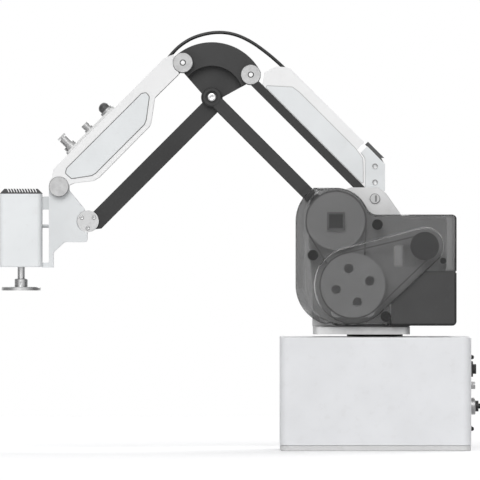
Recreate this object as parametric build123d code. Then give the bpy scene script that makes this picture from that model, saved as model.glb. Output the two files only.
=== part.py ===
from build123d import *
import os
from math import atan2, cos, degrees, hypot, radians, sin, tan

# Four-axis parallel-linkage robot arm. The side view lies in X (reach) and Z (up), and the
# arm is symmetric about the plane y = 0. The origin is the bottom centre of the base, on the
# slew axis. Every layer below is a distance from that middle plane.

# Linkage
arm_length = 175.0
forearm_length = 175.0
crank_length = 45.0
shoulder_x = 39.2
shoulder_height = 115.4
arm_angle = 45.0
forearm_angle = -45.0
rear_crank_angle = 150.0
front_crank_angle = 50.0
tool_reach = 66.9

# Base
base_width = 190.0
base_height = 113.0
base_corner = 8.0
base_wall = 3.5
bottom_plate_thickness = 5.2
bottom_seam = 0.4
base_edge = 1.2
mount_inset = 15.0
mount_hole_radius = 2.6
supply_length = 100.0
supply_width = 44.0
supply_height = 39.8
board_length = 100.0
board_width = 48.0
board_height = 9.8
board_thickness = 1.6
inside_gap = 5.5

# Rear fittings of the base, by their heights above the floor
io_y = 32.0
io_z = 81.0
io_width = 53.0
io_flange_height = 15.2
io_body_height = 9.5
knurled_y = -34.0
knurled_z = 64.0
knurled_radius = 3.8
round_y = 34.0
round_z = 44.0
round_radius = 8.5

# Slew axis
cable_bore_radius = 13.0
column_radius = 22.0
slew_ring_radius = 27.9
slew_ring_height = 2.1
slew_bearing_radius = 31.0
slew_bearing_height = 9.0
slew_pulley_width = 10.0
slew_ratio = 4.0
slew_motor_width = 42.3
slew_motor_x = base_width / 2 - 33.0
slew_pulley_radius = 0.8 * (slew_motor_x - 14.5)
turntable_front = 61.8
turntable_rear = -34.6
turntable_half_width = 45.0
turntable_thickness = 8.0

# Turret
foot_thickness = 9.0
cover_front_radius = 40.0
cover_shoulder_radius = 33.2
cover_lower_z = base_height + 51.2
cover_bottom_z = base_height + 11.2
cover_rear_x = -80.9
cover_rear_top_z = base_height + 122.0
cover_corner = 4.5
cover_neck_radius = 12.0
cover_wall = 1.8
cover_edge = 2.2
cover_bevel_wide = 7.5
cover_bevel_deep = 5.0
rear_box_front_x = -16.0
rear_box_top_z = base_height + 63.8
rear_box_seam = 2.0
rear_box_lip = 0.9
rear_box_lip_height = 8.0
teardrop_big_radius = 39.0
teardrop_small_radius = 19.0
teardrop_height = 4.0
ear_radius = 11.1
shoulder_boss_radius = 27.0
foot_front = 62.4
post_radius = 5.2

# Drive train
reducer_x = 22.2
reducer_z = base_height + 51.5
motor_x = -49.2
motor_z = base_height + 90.6
shoulder_pulley_radius = 29.0
reducer_pulley_radius = 32.0
drive_ratio = 3.0
belt_thickness = 1.4
motor_width = 42.3
motor_length = 24.0
motor_shaft_radius = 3.0
reducer_shaft_radius = 5.0
bearing_outer = 16.0
sleeve_radius = 12.0
drive_shaft_radius = 8.0

# Layers from the middle plane
hub_half = 9.5
cheek_inner = 10.0
cheek_outer = 16.4
bar_inner = 17.0
bar_outer = 24.0
sector_half = 20.0
tie_inner = 20.5
tie_outer = 25.6
shell_half = 26.3
shell_wall = 2.0
plate_inner = 27.0
plate_outer = 34.0
second_stage_inner = 37.0
second_stage_outer = 44.0
first_stage_inner = 47.0
first_stage_outer = 54.0
cover_half = 58.0
belt_inner = 13.5
belt_outer = 16.2

# Arms
bar_half_width = 6.45
bar_end_radius = 9.7
sector_radius = 55.0
sector_step_radius = 31.0
sector_hub_radius = 10.8
eye_radius = 10.0
pivot_radius = 4.0
tie_pin_radius = 4.0
pin_head_radius = 9.8
pin_head_height = 1.3
arm_pulley_radius = 5.1
arm_belt_thickness = 1.0
forearm_above = 2.9
forearm_below = 14.5
forearm_end_radius = 10.0
wrist_cap_radius = 10.8
cable_radius = 1.75
button_travel = 1.5

# Wrist and head, by heights from the wrist pin
bracket_front = 39.0
bracket_low = -46.3
head_width = 42.3
head_corner = 5.2
head_bottom = -45.8
head_top = 27.4
standoff_low = 11.6
standoff_high = 24.6
locating_pin = -5.0
vent_height = 5.0
vent_floor = 1.0
vent_slot = 1.35
flange_radius = 19.65
flange_thickness = 3.5
flange_bottom = -69.2
hub_radius = 6.65
hub_height = 8.2
shaft_radius = 3.7
flange_pcd = 31.5
flange_hole_radius = 1.7

# Fits
running_fit = 0.1
belt_gap = 0.2
seat_gap = 0.1
side_gap = 0.3

slew_z = base_height + 0.4
turntable_z = slew_z + slew_ring_height
foot_z = turntable_z + turntable_thickness
shoulder_z = base_height + shoulder_height
mount_spacing = base_width - 2 * mount_inset
inside_half = base_width / 2 - base_wall - inside_gap


def polar(centre, length, angle):
    return (centre[0] + length * cos(radians(angle)), centre[1] + length * sin(radians(angle)))


shoulder = (shoulder_x, shoulder_z)
elbow = polar(shoulder, arm_length, arm_angle)
wrist = polar(elbow, forearm_length, forearm_angle)
rear_tie_foot = polar(shoulder, crank_length, rear_crank_angle)
rear_tie_head = polar(elbow, crank_length, rear_crank_angle)
front_tie_foot = polar(elbow, crank_length, front_crank_angle)
front_tie_head = polar(wrist, crank_length, front_crank_angle)
reducer = (reducer_x, reducer_z)
motor = (motor_x, motor_z)
tool_x = wrist[0] + tool_reach
head_bottom_z = wrist[1] + head_bottom
head_top_z = wrist[1] + head_top
flange_bottom_z = wrist[1] + flange_bottom


# Helpers

def slab(outline, low, high):
    """A side-view outline made into a plate between two distances from the middle plane."""
    return extrude(Plane.XZ.offset(-high) * outline, high - low)


def disc(centre, radius, low, high):
    return slab(Pos(*centre) * Circle(radius), low, high)


def ring(centre, outer, inner, low, high):
    return disc(centre, outer, low, high) - disc(centre, inner, low - 1, high + 1)


def mirrored(solid):
    return mirror(solid, Plane.XZ)


def both(solid):
    return [solid, mirrored(solid)]


def polygon(*points):
    return make_face(Polyline(*points, close=True))


def rounded(points, radii):
    """A closed outline; each corner has its own radius, and 0 leaves it sharp."""
    face = polygon(*points)
    for point, radius in zip(points, radii):
        if radius:
            corner = face.vertices().sort_by_distance((point[0], point[1], 0))[0]
            face = fillet(corner, radius)
    return face


def hull(c1, r1, c2, r2):
    edges = (Pos(*c1) * Circle(r1)).edges() + (Pos(*c2) * Circle(r2)).edges()
    return make_hull(edges)


def on_link(start, end, sketch):
    """Puts a sketch drawn along +X from 0 onto the line from start to end."""
    angle = degrees(atan2(end[1] - start[1], end[0] - start[0]))
    return Pos(*start) * Rot(0, 0, angle) * sketch


def upright(x, y, radius, z_low, z_high):
    return Pos(x, y, (z_low + z_high) / 2) * Cylinder(radius, z_high - z_low)


def block(x0, x1, y0, y1, z0, z1):
    return Pos((x0 + x1) / 2, (y0 + y1) / 2, (z0 + z1) / 2) * Box(x1 - x0, y1 - y0, z1 - z0)


def lying(x_low, x_high, y, z, radius):
    """A round bar along X."""
    return Pos((x_low + x_high) / 2, y, z) * Rot(0, 90, 0) * Cylinder(radius, x_high - x_low)


def belt(c1, r1, c2, r2, low, high):
    outside = hull(c1, r1 + belt_gap + belt_thickness, c2, r2 + belt_gap + belt_thickness)
    inside = hull(c1, r1 + belt_gap, c2, r2 + belt_gap)
    return slab(outside, low, high) - slab(inside, low - 1, high + 1)


def save(name, *solids):
    shape = solids[0] if len(solids) == 1 else Compound(children=list(solids))
    export_step(shape, "parts/" + name + ".step")
    print(name, len(solids))


# Base

def rounded_square(width, radius, z_low, z_high):
    return extrude(Pos(0, 0, z_low) * RectangleRounded(width, width, radius), z_high - z_low)


def base_housing():
    low = bottom_plate_thickness + bottom_seam
    outside = rounded_square(base_width, base_corner, low, base_height)
    outside = fillet(outside.faces().sort_by(Axis.Z)[-1].edges(), base_edge)
    inner = base_width - 2 * base_wall
    inside = rounded_square(inner, base_corner - base_wall, low - 1, base_height - base_wall)
    body = outside - inside
    body -= upright(0, 0, column_radius + 1.5, base_height - base_wall - 1, base_height + 1)
    for y, z, radius in ((knurled_y, knurled_z, knurled_radius), (round_y, round_z, round_radius)):
        body -= lying(-base_width / 2 - 1, -base_width / 2 + base_wall + 1, y, z, radius * 0.8 + seat_gap)
    half = io_width / 2 - 6 + seat_gap
    tall = io_body_height / 2 + seat_gap
    rear = -base_width / 2
    body -= block(rear - 1, rear + base_wall + 1, io_y - half, io_y + half, io_z - tall, io_z + tall)
    return body


def base_bottom_plate():
    plate = rounded_square(base_width - 2 * bottom_seam, base_corner - bottom_seam, 0, bottom_plate_thickness)
    inner = base_width - 2 * base_wall - 1
    low = bottom_plate_thickness
    plate += rounded_square(inner, base_corner - base_wall, low, low + 4)
    plate -= rounded_square(inner - 6, 2.0, bottom_plate_thickness, bottom_plate_thickness + 5)
    for location in GridLocations(mount_spacing, mount_spacing, 2, 2):
        plate -= location * upright(0, 0, mount_hole_radius, -1, bottom_plate_thickness + 1)
    return chamfer(plate.faces().sort_by(Axis.Z)[0].outer_wire().edges(), 0.6)


def rear_face(distance):
    return -base_width / 2 - distance


def base_io_connector():
    flange = block(rear_face(2.2), rear_face(0), io_y - io_width / 2, io_y + io_width / 2,
                   io_z - io_flange_height / 2, io_z + io_flange_height / 2)
    flange = fillet(flange.edges().filter_by(Axis.X), 2.0)
    half = io_width / 2 - 6
    tall = io_body_height / 2
    shell = block(rear_face(5.5), rear_face(-6), io_y - half, io_y + half, io_z - tall, io_z + tall)
    shell = fillet(shell.edges().filter_by(Axis.X), 3.0)
    socket = block(rear_face(6), rear_face(0.5), io_y - half + 1.2, io_y + half - 1.2,
                   io_z - tall + 1.2, io_z + tall - 1.2)
    body = flange + shell - socket
    for side in (-1, 1):
        y = io_y + side * (io_width / 2 - 3)
        body += extrude(Plane((rear_face(2), y, io_z), x_dir=(0, 1, 0), z_dir=(-1, 0, 0))
                        * RegularPolygon(2.4, 6), 3.0)
    return body


def base_knurled_connector():
    barrel = lying(rear_face(6), rear_face(0), knurled_y, knurled_z, knurled_radius)
    for i in range(18):
        angle = i * 20
        y = knurled_y + knurled_radius * cos(radians(angle))
        z = knurled_z + knurled_radius * sin(radians(angle))
        barrel -= lying(rear_face(5.2), rear_face(0.8), y, z, 0.35)
    barrel -= lying(rear_face(7), rear_face(1), knurled_y, knurled_z, knurled_radius * 0.45)
    return barrel + lying(rear_face(0), rear_face(-8), knurled_y, knurled_z, knurled_radius * 0.8)


def base_round_connector():
    collar = lying(rear_face(5), rear_face(0), round_y, round_z, round_radius)
    collar = chamfer(collar.edges().sort_by(Axis.X)[0], 0.8)
    neck = lying(rear_face(0), rear_face(-9), round_y, round_z, round_radius * 0.8)
    return collar + neck


def base_air_coupler():
    sleeve = lying(rear_face(8), rear_face(5), round_y, round_z, 5.45)
    stem = lying(rear_face(14), rear_face(8), round_y, round_z, 2.6)
    wing = block(rear_face(14), rear_face(10.5), round_y - 1.3, round_y + 1.3, round_z - 3.8, round_z + 3.8)
    return sleeve + stem + wing


def slew_bearing():
    top = base_height - base_wall
    low = top - slew_bearing_height
    race = upright(0, 0, slew_bearing_radius, low, top)
    race -= upright(0, 0, column_radius + running_fit, low - 1, top + 1)
    for location in PolarLocations((slew_bearing_radius + column_radius) / 2 + 1, 8):
        race -= location * upright(0, 0, 1.2, low - 1, low + 4)
    return race


def pulley_top():
    return base_height - base_wall - slew_bearing_height - 1.5


def slew_column():
    """The hollow column under the turntable, with its belt pulley at the bottom."""
    top = pulley_top()
    low = top - slew_pulley_width
    wheel = upright(0, 0, slew_pulley_radius, low, top)
    for location in PolarLocations((slew_pulley_radius + column_radius) / 2, 6):
        wheel -= location * upright(0, 0, 0.3 * (slew_pulley_radius - column_radius), low - 1, top + 1)
    wheel += upright(0, 0, column_radius, top, slew_z)
    return wheel - upright(0, 0, cable_bore_radius, low - 1, slew_z + 1)


def slew_motor():
    top = pulley_top() - slew_pulley_width - 3
    half = slew_motor_width / 2
    body = block(slew_motor_x - half, slew_motor_x + half, -half, half, bottom_plate_thickness, top)
    body = chamfer(body.edges().filter_by(Axis.Z), 4)
    return body + upright(slew_motor_x, 0, 11, top, top + 1.5)


def slew_motor_pulley():
    top = pulley_top()
    low = top - slew_pulley_width
    return upright(slew_motor_x, 0, slew_pulley_radius / slew_ratio, low - 1.2, top + 0.6)


def slew_belt():
    top = pulley_top() - 1.5
    low = top - slew_pulley_width + 3
    small = slew_pulley_radius / slew_ratio
    out = belt_gap + belt_thickness
    outside = hull((0, 0), slew_pulley_radius + out, (slew_motor_x, 0), small + out)
    inside = hull((0, 0), slew_pulley_radius + belt_gap, (slew_motor_x, 0), small + belt_gap)
    return extrude(Pos(0, 0, low) * outside, top - low) - extrude(Pos(0, 0, low - 1) * inside, top - low + 2)


def power_supply():
    rear = 8 - inside_half
    top = bottom_plate_thickness + supply_height
    body = block(rear, rear + supply_length, -inside_half, supply_width - inside_half,
                 bottom_plate_thickness, top)
    for i in range(14):
        x = rear + 10 + 6 * i
        body -= block(x, x + 3, 6 - inside_half, supply_width - 6 - inside_half, top - 1, top + 1)
    return body


def control_board():
    rear = 11 - inside_half
    side = inside_half - board_width
    low = bottom_plate_thickness + board_height
    high = low + board_thickness
    board = block(rear, rear + board_length, side, side + board_width, low, high)
    chips = ((25, 22, 14, 14, 1.6), (55, 32, 18, 10, 2.2), (80, 14, 9, 12, 6), (13, 8, 10, 8, 8))
    for x, y, w, d, h in chips:
        board += block(rear + x - w / 2, rear + x + w / 2, side + y - d / 2, side + y + d / 2, high, high + h)
    for x in (rear + 4, rear + board_length - 4):
        for y in (side + 4, side + board_width - 4):
            board += upright(x, y, 3, bottom_plate_thickness, low)
    return board


# Turret

def slew_ring():
    return (upright(0, 0, slew_ring_radius, slew_z, turntable_z)
            - upright(0, 0, cable_bore_radius, slew_z - 1, turntable_z + 1))


def turntable_plate():
    middle = (turntable_front + turntable_rear) / 2
    length = turntable_front - turntable_rear
    outline = Pos(middle, 0, turntable_z) * RectangleRounded(length, 2 * turntable_half_width, 6)
    plate = extrude(outline, turntable_thickness)
    plate = chamfer(plate.faces().sort_by(Axis.Z)[-1].edges(), 0.8)
    return plate - upright(0, 0, cable_bore_radius, turntable_z - 1, foot_z + 1)


def frame_outline():
    top = rear_tie_foot[1] + ear_radius
    left = rear_tie_foot[0]
    motor_half = motor_width / 2
    points = [
        (foot_front, foot_z),
        (foot_front, foot_z + 40),
        (shoulder_x + shoulder_boss_radius, shoulder_z - 20),
        (shoulder_x + shoulder_boss_radius, shoulder_z + 10),
        (shoulder_x + 6, shoulder_z + shoulder_boss_radius),
        (left + 24, top),
        (left - 3, top),
        (left - 11, top - 5.5),
        (motor_x + motor_half, cover_rear_top_z - cover_wall - 1.5),
        (motor_x - motor_half - 1, cover_rear_top_z - cover_wall - 1.5),
        (motor_x - motor_half - 1, motor_z - motor_half - 3),
        (motor_x + 8, rear_box_top_z - 12),
        (turntable_rear, foot_z + 12),
        (turntable_rear, foot_z),
    ]
    return rounded(points, [0, 8, 10, 20, 12, 0, 7, 7, 0, 3, 8, 10, 6, 0])


def frame_window():
    return Pos(motor_x + 19.3, motor_z - 10) * RectangleRounded(22.2, 21.4, 2)


def turret_frame():
    """One casting: a foot on the turntable and two side plates with the ears of the tie."""
    plate = slab(frame_outline(), plate_inner, plate_outer)
    plate -= disc(shoulder, bearing_outer, plate_inner - 1, plate_outer + 1)
    plate -= disc(reducer, reducer_shaft_radius + 4, plate_inner - 1, plate_outer + 1)
    plate -= disc(motor, 12, plate_inner - 1, plate_outer + 1)
    plate -= disc(rear_tie_foot, tie_pin_radius + 0.02, plate_inner - 1, plate_outer + 1)
    plate -= slab(frame_window(), plate_inner - 1, plate_outer + 1)
    slot = Pos(reducer_x, reducer_z - 26) * RectangleRounded(44, 12, 5)
    plate -= slab(slot, plate_inner - 1, plate_outer + 1)
    plate = chamfer(plate.faces().sort_by(Axis.Y)[-1].outer_wire().edges(), 0.8)
    foot = block(turntable_rear, foot_front, -plate_inner, plate_inner, foot_z, foot_z + foot_thickness)
    foot -= upright(0, 0, cable_bore_radius, foot_z - 1, foot_z + foot_thickness + 1)
    return plate + mirrored(plate) + foot


def shoulder_bearings():
    race = ring(shoulder, bearing_outer - 0.02, sleeve_radius + running_fit, plate_inner + 0.2, plate_outer)
    return both(race)


def reducer_bearings():
    bore = reducer_shaft_radius + running_fit
    race = ring(reducer, reducer_shaft_radius + 3.98, bore, plate_inner + 1, plate_outer)
    return both(race)


def cover_outline():
    """The stadium front, the round shoulder, and the lower rear part with its round corners."""
    top = shoulder_z + cover_shoulder_radius
    front = hull(shoulder, cover_front_radius, (shoulder_x, cover_lower_z), cover_front_radius)
    front = front & polygon(
        (shoulder_x, cover_bottom_z), (shoulder_x + 2 * cover_front_radius, cover_bottom_z),
        (shoulder_x + 2 * cover_front_radius, top), (shoulder_x, top))
    body = polygon((cover_rear_x, cover_bottom_z), (shoulder_x, cover_bottom_z),
                   (shoulder_x, cover_rear_top_z), (cover_rear_x, cover_rear_top_z))
    for z in (cover_bottom_z, cover_rear_top_z):
        body = fillet(body.vertices().sort_by_distance((cover_rear_x, z, 0))[0], cover_corner)
    body = body + Pos(*shoulder) * Circle(cover_shoulder_radius)
    rise = cover_rear_top_z - shoulder_z
    neck = shoulder_x - (cover_shoulder_radius ** 2 - rise ** 2) ** 0.5
    body = fillet(body.vertices().sort_by_distance((neck, cover_rear_top_z, 0))[0], cover_neck_radius)
    return body + front


def rear_box_region(shrink):
    left = cover_rear_x - 10
    return polygon((left, cover_bottom_z - 10), (rear_box_front_x - shrink, cover_bottom_z - 10),
                   (rear_box_front_x - shrink, rear_box_top_z), (left, rear_box_top_z))


def teardrop(extra):
    return hull(reducer, teardrop_big_radius + extra, motor, teardrop_small_radius + extra)


def cover_cavity():
    return offset(cover_outline(), -cover_wall)


def bevel_cut(shrink, outer):
    """What the slanted front takes off: all that lies outside a stadium that leans rearward."""
    inner = outer - cover_bevel_deep
    past = outer + 1
    lean = cover_bevel_wide * (past - inner) / cover_bevel_deep
    radius = cover_front_radius - shrink
    stadium = hull(shoulder, radius, (shoulder_x, cover_lower_z), radius)
    top = shoulder_z + cover_shoulder_radius - shrink
    stadium = stadium & polygon(
        (shoulder_x - 90, 0), (shoulder_x + 90, 0), (shoulder_x + 90, top), (shoulder_x - 90, top))
    leaning = loft([Plane.XZ.offset(-inner) * stadium, Plane.XZ.offset(-past) * (Pos(-lean, 0) * stadium)])
    front = polygon((shoulder_x - lean, cover_bottom_z - 20), (shoulder_x + 60, cover_bottom_z - 20),
                    (shoulder_x + 60, top + 20), (shoulder_x - lean, top + 20))
    return slab(front, inner, past) - leaning


def box_and_seam():
    """The rear box's region with the width of the seam round it."""
    return rear_box_region(-rear_box_seam) + Pos(0, rear_box_seam) * rear_box_region(-rear_box_seam)


def drive_cover():
    low = plate_outer + side_gap
    shell = slab(cover_outline(), low, cover_half)
    shell = chamfer(shell.faces().sort_by(Axis.Y)[-1].edges(), cover_edge)
    shell -= bevel_cut(0, cover_half)
    shell -= slab(box_and_seam(), low - 1, cover_half + 1)
    cavity = slab(cover_cavity(), low - 1, cover_half - cover_wall)
    shell -= cavity - bevel_cut(cover_wall, cover_half - cover_wall)
    return shell - slab(teardrop(seat_gap), cover_half - cover_wall - 1, cover_half + 1)


def rear_box():
    shell = slab(cover_outline(), -cover_half, cover_half)
    shell = chamfer(shell.faces().sort_by(Axis.Y)[-1].edges(), cover_edge)
    shell = chamfer(shell.faces().sort_by(Axis.Y)[0].edges(), cover_edge)
    shell = shell & slab(rear_box_region(0), -cover_half - 1, cover_half + 1)
    lip_half = cover_half - rear_box_lip
    rim = polygon((cover_rear_x - 10, rear_box_top_z - rear_box_lip_height),
                  (rear_box_front_x, rear_box_top_z - rear_box_lip_height),
                  (rear_box_front_x, rear_box_top_z + rear_box_seam),
                  (cover_rear_x - 10, rear_box_top_z + rear_box_seam))
    shell += slab(offset(cover_outline(), -rear_box_lip) & rim, -lip_half, lip_half)
    shell -= slab(cover_cavity(), -cover_half + cover_wall, cover_half - cover_wall)
    hole = slab(teardrop(seat_gap), cover_half - cover_wall - 1, cover_half + 1)
    shell = shell - hole - mirrored(hole)
    half = plate_outer + side_gap
    top = foot_z + foot_thickness + side_gap
    return shell - block(turntable_rear - side_gap, 0, -half, half, cover_bottom_z - 1, top)


def rear_cover():
    half = plate_outer
    left = cover_rear_x - 10
    low = rear_box_top_z + rear_box_seam
    right = motor_x + motor_width / 2 - 6
    region = polygon((left, low), (right, low), (right, cover_rear_top_z + 10), (left, cover_rear_top_z + 10))
    shell = slab(cover_outline() & region, -half, half)
    return shell - slab(cover_cavity(), -half - 1, half + 1)


def belt_cover():
    low = cover_half - cover_wall
    top = cover_half + teardrop_height
    cap = slab(teardrop(0), low, top)
    cap = fillet(cap.faces().sort_by(Axis.Y)[-1].edges(), 1.8)
    return cap - slab(teardrop(-cover_wall), low - 1, top - cover_wall)


def cover_posts():
    places = ((shoulder, -41.3, -3.4, post_radius), (shoulder, 22.9, -33.9, post_radius),
              (reducer, -32.8, -31.2, post_radius), (motor, -18.4, -14.6, 3.0))
    posts = []
    for axle, x, z, radius in places:
        posts += both(disc((axle[0] + x, axle[1] + z), radius, plate_outer, cover_half - cover_wall))
    return posts


def joint_motor():
    half = motor_width / 2
    outline = Pos(*motor) * RectangleRounded(motor_width, motor_width, 4)
    body = slab(outline, plate_inner - motor_length, plate_inner)
    return body + disc(motor, 11, plate_inner, plate_inner + 2)


def motor_pulley():
    radius = reducer_pulley_radius / drive_ratio
    wheel = disc(motor, radius, first_stage_inner, first_stage_outer)
    wheel += disc(motor, radius + 3.5, first_stage_inner - 1.2, first_stage_inner)
    wheel += disc(motor, radius + 3.5, first_stage_outer, first_stage_outer + 1.2)
    return wheel + disc(motor, motor_shaft_radius, plate_inner + 2 + side_gap, first_stage_inner)


def reduction_pulley():
    small = shoulder_pulley_radius / drive_ratio
    wheel = disc(reducer, reducer_pulley_radius, first_stage_inner, first_stage_outer)
    for i in range(4):
        wheel -= disc(polar(reducer, 17.3, 75.5 + 90 * i), 4.7, first_stage_inner - 1, first_stage_outer + 1)
    wheel += disc(reducer, small, second_stage_inner, second_stage_outer)
    wheel += disc(reducer, reducer_shaft_radius, plate_inner + 1, first_stage_inner)
    return wheel + disc(reducer, 9.0, first_stage_outer, first_stage_outer + 0.8)


def drive_belts():
    small = shoulder_pulley_radius / drive_ratio
    low = belt(motor, reducer_pulley_radius / drive_ratio, reducer, reducer_pulley_radius,
               first_stage_inner + 1, first_stage_outer - 1)
    inner, outer = second_stage_inner + 1, second_stage_outer - 1
    high = belt(reducer, small, shoulder, shoulder_pulley_radius, inner, outer)
    return [low, high]


def output_pulley(shaft_inner, shaft_radius):
    """The large pulley on the shoulder axis, with its square hub and its shaft inward."""
    wheel = disc(shoulder, shoulder_pulley_radius, second_stage_inner, second_stage_outer)
    square = slab(Pos(*shoulder) * Rectangle(18, 18), second_stage_outer, second_stage_outer + 4)
    square -= slab(Pos(*shoulder) * Rectangle(13.7, 13.7), second_stage_outer + 2, second_stage_outer + 5)
    return wheel + square + disc(shoulder, shaft_radius, shaft_inner, second_stage_inner)


def elbow_drive_pulley():
    """The far output pulley drives the belt up the rear link through the hollow hub."""
    wheel = output_pulley(cheek_outer, drive_shaft_radius)
    wheel += disc(shoulder, arm_pulley_radius, belt_inner - 0.6, cheek_outer)
    return mirrored(wheel)


def tie_foot_pins():
    pin = disc(rear_tie_foot, tie_pin_radius, tie_inner + 0.1, plate_outer)
    head = disc(rear_tie_foot, 5.1, plate_outer, plate_outer + 1.4)
    return both(pin + chamfer(head.edges().sort_by(Axis.Y)[-1], 0.4))


# Rear link

def rear_link_outline():
    outline = on_link(shoulder, elbow, Pos(arm_length / 2, 0) * Rectangle(arm_length, 2 * bar_half_width))
    outline += Pos(*shoulder) * Circle(sleeve_radius + 4) + Pos(*elbow) * Circle(bar_end_radius)
    return outline


def rear_link_bar():
    bar = slab(rear_link_outline(), bar_inner, bar_outer)
    bar = chamfer(bar.faces().sort_by(Axis.Y)[-1].outer_wire().edges(), 0.8)
    bar += ring(elbow, 8.3, 6.4, bar_outer, bar_outer + 1.0)
    band = on_link(shoulder, elbow, Pos(49, 0) * Rectangle(8, 2 * bar_half_width))
    bar += slab(band, bar_outer, bar_outer + 0.8)
    bar -= disc(elbow, 6.4, bar_outer - 1.5, bar_outer + 2)
    return bar - disc(elbow, pivot_radius + 0.02, bar_inner - 1, bar_outer)


def left_rear_link():
    bar = rear_link_bar()
    return bar + disc(shoulder, sleeve_radius, bar_outer, plate_outer + 0.5)


def right_rear_link():
    bar = rear_link_bar() + disc(shoulder, sleeve_radius, bar_outer, plate_outer + 0.5)
    bar = bar - disc(shoulder, drive_shaft_radius + running_fit, bar_inner - 1, plate_outer + 2)
    return mirrored(bar)


def rear_link_spacers():
    spacers = []
    for along in (49.0, 118.0):
        place = polar(shoulder, along, arm_angle)
        spacers.append(disc(place, 4.0, -bar_inner, bar_inner))
    return spacers


def elbow_pin():
    pin = disc(elbow, pivot_radius, -bar_outer + 1.5, bar_outer - 1.5)
    cap = disc(elbow, 4.0, bar_outer - 1.5, bar_outer + 0.3)
    return pin + cap + mirrored(cap)


def forearm_belt():
    """The belt up the rear link, narrow enough to stay behind the bars."""
    radius = arm_pulley_radius + belt_gap
    outside = hull(shoulder, radius + arm_belt_thickness, elbow, radius + arm_belt_thickness)
    loop = slab(outside, belt_inner, belt_outer)
    return mirrored(loop - slab(hull(shoulder, radius, elbow, radius), belt_inner - 1, belt_outer + 1))


# Elbow

def sector_outline(radius):
    """The fan between the two cranks, with a round lobe at each crank pin."""
    start = front_crank_angle
    end = rear_crank_angle
    fan = polygon(elbow, polar(elbow, radius * 2, start - 3), polar(elbow, radius * 2, (start + end) / 2),
                  polar(elbow, radius * 2, end + 3))
    fan = fan & (Pos(*elbow) * Circle(radius))
    for pin in (front_tie_foot, rear_tie_head):
        fan += hull(elbow, 5.0, pin, 5.9)
    return fan


def elbow_sector():
    web = slab(sector_outline(sector_radius) + Pos(*elbow) * Circle(sector_hub_radius), -hub_half, hub_half)
    inner = Pos(*elbow) * Circle(sector_step_radius)
    band = slab(sector_outline(sector_radius) - inner, hub_half, sector_half)
    band = chamfer(band.faces().sort_by(Axis.Y)[-1].outer_wire().edges(), 0.6)
    body = web + band + mirrored(band)
    for pin in (front_tie_foot, rear_tie_head):
        body += disc(pin, eye_radius - 0.4, -sector_half, sector_half)
    pocket = Pos(*elbow) * (Circle(sector_radius - 5) - Circle(sector_step_radius + 5))
    middle = (front_crank_angle + rear_crank_angle) / 2
    spread = [polar(elbow, 90, middle - 27), polar(elbow, 100, middle), polar(elbow, 90, middle + 27)]
    cut = pocket & polygon(elbow, *spread)
    body -= slab(cut, -hub_half + 2, hub_half - 2)
    for pin in (front_tie_foot, rear_tie_head):
        body -= disc(pin, tie_pin_radius + 0.02, -sector_half - 1, sector_half + 1)
    return body - disc(elbow, pivot_radius + running_fit, -hub_half - 1, hub_half + 1)


def pin_head(centre):
    """The round cap of a tie pin, just clear of the tie bar."""
    low = tie_outer + running_fit
    head = disc(centre, pin_head_radius, low, low + pin_head_height)
    return chamfer(head.edges().sort_by(Axis.Y)[-1], 0.4)


def crank_pins():
    pins = []
    for centre in (front_tie_foot, rear_tie_head):
        groove = ring(centre, 3.0, 2.2, tie_outer + pin_head_height - 0.5, tie_outer + pin_head_height + 2)
        head = pin_head(centre) - groove
        pins.append(disc(centre, tie_pin_radius, -tie_outer - 0.2, tie_outer + 0.2) + head + mirrored(head))
    return pins


# Ties

def tie_bar(start, end, above, below):
    length = hypot(end[0] - start[0], end[1] - start[1])
    outline = on_link(start, end, polygon((0, -below), (length, -below), (length, above), (0, above)))
    outline += Pos(*start) * Circle(eye_radius) + Pos(*end) * Circle(eye_radius)
    bar = slab(outline, tie_inner, tie_outer)
    for eye in (start, end):
        bar -= disc(eye, tie_pin_radius + running_fit, tie_inner - 1, tie_outer + 1)
    return bar


def rear_tie_bars():
    return both(tie_bar(rear_tie_foot, rear_tie_head, 1.0, 7.0))


def forearm_tie_bars():
    return both(tie_bar(front_tie_foot, front_tie_head, 5.0, 4.9))


def rear_shell_outline():
    return rounded(
        [(47, 32.3), (arm_length - 22, 32.3), (arm_length - 12, 23.5), (arm_length - 8, 11),
         (arm_length - 15, 1.1), (16.5, 1.1), (33.5, 18), (36.5, 20.3), (47, 21.8)],
        [1.5, 9, 6, 3, 1, 0, 3, 3, 1])


def rear_arm_cover():
    """The moulded channel over the rear tie, open toward the bars and at the elbow end."""
    outline = on_link(rear_tie_foot, rear_tie_head, rear_shell_outline())
    body = slab(outline, -shell_half, shell_half)
    for face in (body.faces().sort_by(Axis.Y)[-1], body.faces().sort_by(Axis.Y)[0]):
        body = fillet(face.edges(), 1.0)
    low = 32.3 - shell_wall
    inside = on_link(rear_tie_foot, rear_tie_head, polygon(
        (49, low), (arm_length + 15, low), (arm_length + 15, -8), (10, -8), (10, 1), (49, 24)))
    return body - slab(inside, -tie_inner, tie_inner)


def rear_end_bracket():
    outline = on_link(rear_tie_foot, rear_tie_head, polygon(
        (-1.8, 12.7), (17, 31.5), (42.2, 31.7), (42.2, 22.9),
        (36.0, 22.0), (32.8, 19.3), (14.6, 1.1), (9.8, 1.1)))
    outline -= Pos(*rear_tie_foot) * Circle(eye_radius + seat_gap)
    body = slab(outline, -tie_outer, tie_outer)
    inside = on_link(rear_tie_foot, rear_tie_head, polygon(
        (-30, 12.7), (19, 29.2), (60, 29.2), (60, -8), (-30, -8)))
    return body - slab(inside, -tie_inner, tie_inner)


def rear_cover_strip():
    outline = on_link(rear_tie_foot, rear_tie_head, polygon(
        (19, 31.7), (45, 31.7), (45, 35.5), (22, 35.5), (24.5, 33.6)))
    return slab(outline, -16, 16)


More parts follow.
